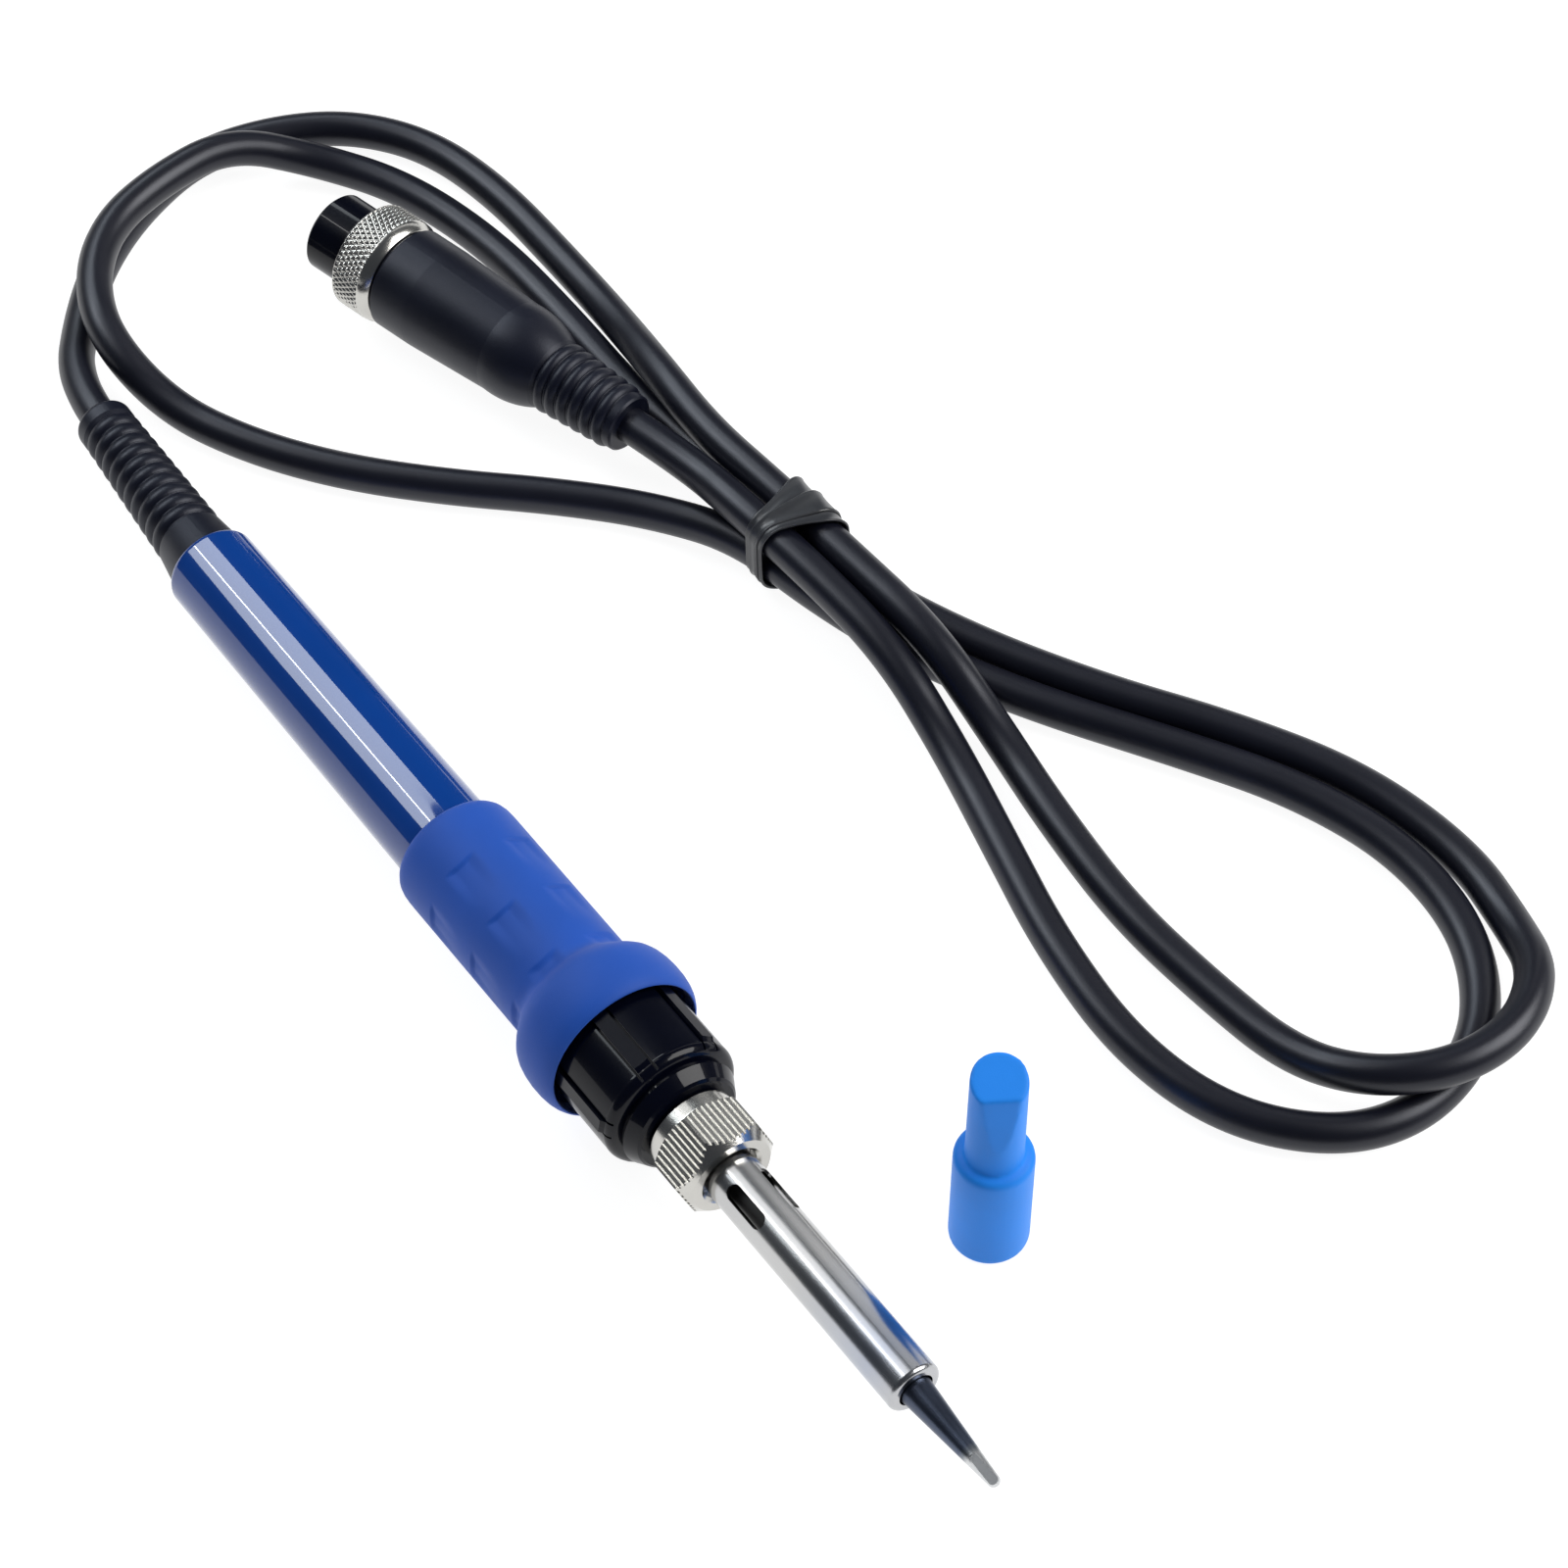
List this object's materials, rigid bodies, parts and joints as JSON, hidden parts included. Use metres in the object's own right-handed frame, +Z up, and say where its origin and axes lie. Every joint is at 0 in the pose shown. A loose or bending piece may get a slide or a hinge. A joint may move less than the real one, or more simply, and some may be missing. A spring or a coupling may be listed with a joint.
{
  "type": "soldering iron",
  "caption": "Soldering iron with a cushioned grip, screwed nose, hexagonal nut, slotted tip enclosure and cone tip, a tied cord with a plug, and its tip cap.",
  "frame": {"origin": "on the bench, under the middle of the box round the iron and its cap", "axes": "+X along the iron towards its tip, +Y to the left of it, +Z up from the bench"},
  "size_m": [0.268, 0.13, 0.0358],
  "materials": {
    "blue_shell": "gloss moulded plastic",
    "blue_grip": "matte soft rubber",
    "blue_cap": "matte silicone",
    "black_nose": "gloss heat-resistant plastic",
    "black_rubber": "satin rubber",
    "grey_strip": "gloss plastic strip",
    "bright_nickel": "bright nickel plate",
    "steel_tube": "polished stainless steel",
    "plated_tip": "dark satin iron plate",
    "plated_brass": "nickel-plated brass",
    "gilt_brass": "gilt contacts",
    "ceramic_white": "fired ceramic",
    "bare_wire": "drawn nickel wire",
    "glass_sleeve": "woven glass sleeve",
    "board_laminate": "laminated board",
    "wire_jacket": "wire insulation",
    "black_insulator": "moulded insulator",
    "white_clamp": "nylon",
    "zinc_screw": "zinc-plated steel",
    "spring_steel": "spring steel"
  },
  "bodies": {
    "handle": {"handle_shell": "blue_shell", "grip_sleeve": "blue_grip", "strain_relief": "black_rubber", "cord_tail": "black_rubber", "cord_clamp": "white_clamp", "clamp_screw": "zinc_screw", "cord_wires": "wire_jacket", "terminal_board": "board_laminate", "board_pins": "plated_brass", "heater_leads": "bare_wire", "lead_sleeves": "glass_sleeve", "earth_spring": "spring_steel", "heater_base": "ceramic_white", "heater_rod": "ceramic_white", "cord": "black_rubber", "cable_tie": "grey_strip", "plug_boot": "black_rubber", "plug_shell": "plated_brass", "plug_barrel": "black_nose", "plug_insert": "black_insulator", "plug_contacts": "gilt_brass", "plug_wires": "wire_jacket", "plug_crimp": "plated_brass", "plug_cord_tail": "black_rubber"},
    "bush": {"heater_bush": "ceramic_white"},
    "nose": {"nose": "black_nose", "thread_ferrule": "plated_brass"},
    "enclosure": {"tip_enclosure": "steel_tube"},
    "nut": {"nut": "bright_nickel"},
    "tip": {"tip": "plated_tip"},
    "coupling_ring": {"coupling_ring": "bright_nickel"},
    "tip_cap": {"tip_cap": "blue_cap"}
  },
  "joints": [
    {"name": "nose_travel", "type": "slide", "parent": "handle", "child": "bush", "axis": [0.9986, 0, 0.0528], "range_m": [0, 0.0066]},
    {"name": "nose_turn", "type": "hinge", "parent": "bush", "child": "nose", "pos_m": [0.03544, -0.01014, 0.0127], "axis": [0.9986, 0, 0.0528], "range_deg": [0, 1584]},
    {"name": "nut_travel", "type": "slide", "parent": "nose", "child": "enclosure", "axis": [0.9986, 0, 0.0528], "range_m": [0, 0.005]},
    {"name": "nut_turn", "type": "hinge", "parent": "enclosure", "child": "nut", "pos_m": [0.05191, -0.01014, 0.01357], "axis": [0.9986, 0, 0.0528], "range_deg": [0, 1800]},
    {"name": "tip_turn", "type": "hinge", "parent": "enclosure", "child": "tip", "pos_m": [0.08836, -0.01014, 0.0155], "axis": [0.9986, 0, 0.0528], "continuous": true},
    {"name": "coupling_ring_turn", "type": "hinge", "parent": "handle", "child": "coupling_ring", "pos_m": [-0.11159, 0.0417, 0.00867], "axis": [-0.9684, -0.2487, 0.0175], "continuous": true},
    {"name": "cap_lift", "type": "slide", "parent": "handle", "child": "tip_cap", "axis": [0, 0, 1], "range_m": [0, 0.04]}
  ],
  "couplings": [
    {"joint": "nose_travel", "follows": "nose_turn", "m_per_rad": 0.00023873},
    {"joint": "nut_travel", "follows": "nut_turn", "m_per_rad": 0.00015915}
  ]
}
